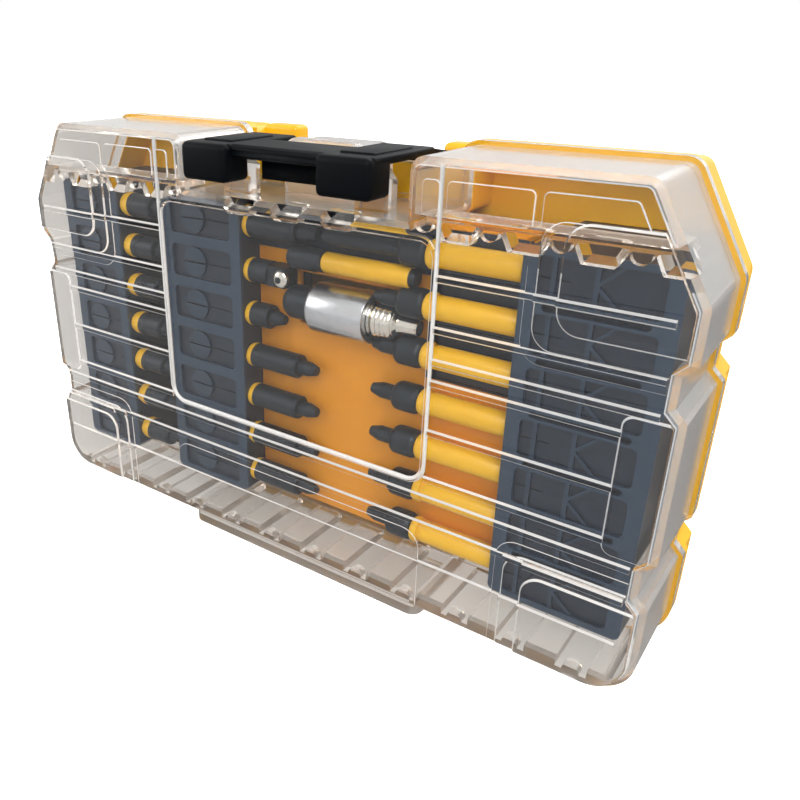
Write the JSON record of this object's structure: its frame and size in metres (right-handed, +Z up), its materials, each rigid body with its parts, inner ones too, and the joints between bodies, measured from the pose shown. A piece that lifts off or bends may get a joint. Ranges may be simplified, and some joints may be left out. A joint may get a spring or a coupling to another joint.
{
  "type": "screwdriver bit set",
  "caption": "Hard case with a clear hinged lid and a rocker latch, holding bars of screwdriver bits, sleeved drivers, a bit holder and a drive guide.",
  "frame": {"origin": "centre of the footprint, on the surface that the case stands on", "axes": "+X along the case, +Z up towards the latch, -Y towards the lid's face"},
  "size_m": [0.2284, 0.055, 0.1399],
  "materials": {
    "clear_plastic": "clear moulded polycarbonate",
    "yellow_plastic": "moulded, semi-gloss",
    "black_plastic": "moulded, satin",
    "grey_plastic": "moulded, satin",
    "dark_steel": "phosphated tool steel",
    "yellow_sleeve": "moulded, semi-gloss",
    "satin_silver": "satin turned",
    "bright_steel": "polished"
  },
  "bodies": {
    "base_body": {"base_shell": "yellow_plastic", "bit_holder": "dark_steel", "bit_holder_sleeve": "yellow_sleeve", "centre_tray": "yellow_plastic", "driver_1": "dark_steel", "driver_2": "dark_steel", "driver_3": "dark_steel", "driver_4": "dark_steel", "driver_5": "dark_steel", "driver_6": "dark_steel", "driver_7": "dark_steel", "driver_sleeve_1": "yellow_sleeve", "driver_sleeve_2": "yellow_sleeve", "driver_sleeve_3": "yellow_sleeve", "driver_sleeve_4": "yellow_sleeve", "driver_sleeve_5": "yellow_sleeve", "driver_sleeve_6": "yellow_sleeve", "driver_sleeve_7": "yellow_sleeve", "guide_ring": "bright_steel", "guide_shaft": "bright_steel", "insert_bit_1": "dark_steel", "insert_bit_2": "dark_steel", "insert_bit_3": "dark_steel", "insert_bit_4": "dark_steel", "insert_bit_5": "dark_steel", "insert_bit_6": "dark_steel", "insert_bit_7": "dark_steel", "insert_bit_rings": "yellow_sleeve", "left_inner_bit_bar": "grey_plastic", "left_outer_bit_bar": "grey_plastic", "power_bit_1": "dark_steel", "power_bit_2": "dark_steel", "power_bit_3": "dark_steel", "power_bit_4": "dark_steel", "power_bit_5": "dark_steel", "power_bit_6": "dark_steel", "power_bit_7": "dark_steel", "power_bit_rings": "yellow_sleeve", "right_bit_bar": "grey_plastic"},
    "lid": {"lid_shell": "clear_plastic"},
    "latch": {"latch": "black_plastic"},
    "guide_sleeve": {"guide_sleeve": "satin_silver"}
  },
  "joints": [
    {"name": "lid_hinge", "type": "hinge", "parent": "base_body", "child": "lid", "pos_m": [0, 0.0134, 0.003], "axis": [1, 0, 0], "range_deg": [0, 180]},
    {"name": "latch_hinge", "type": "hinge", "parent": "lid", "child": "latch", "pos_m": [0, -0.0215, 0.1314], "axis": [1, 0, 0], "range_deg": [0, 90]},
    {"name": "guide_sleeve_slide", "type": "slide", "parent": "base_body", "child": "guide_sleeve", "axis": [1, 0, 0], "range_m": [-0.008, 0]}
  ]
}
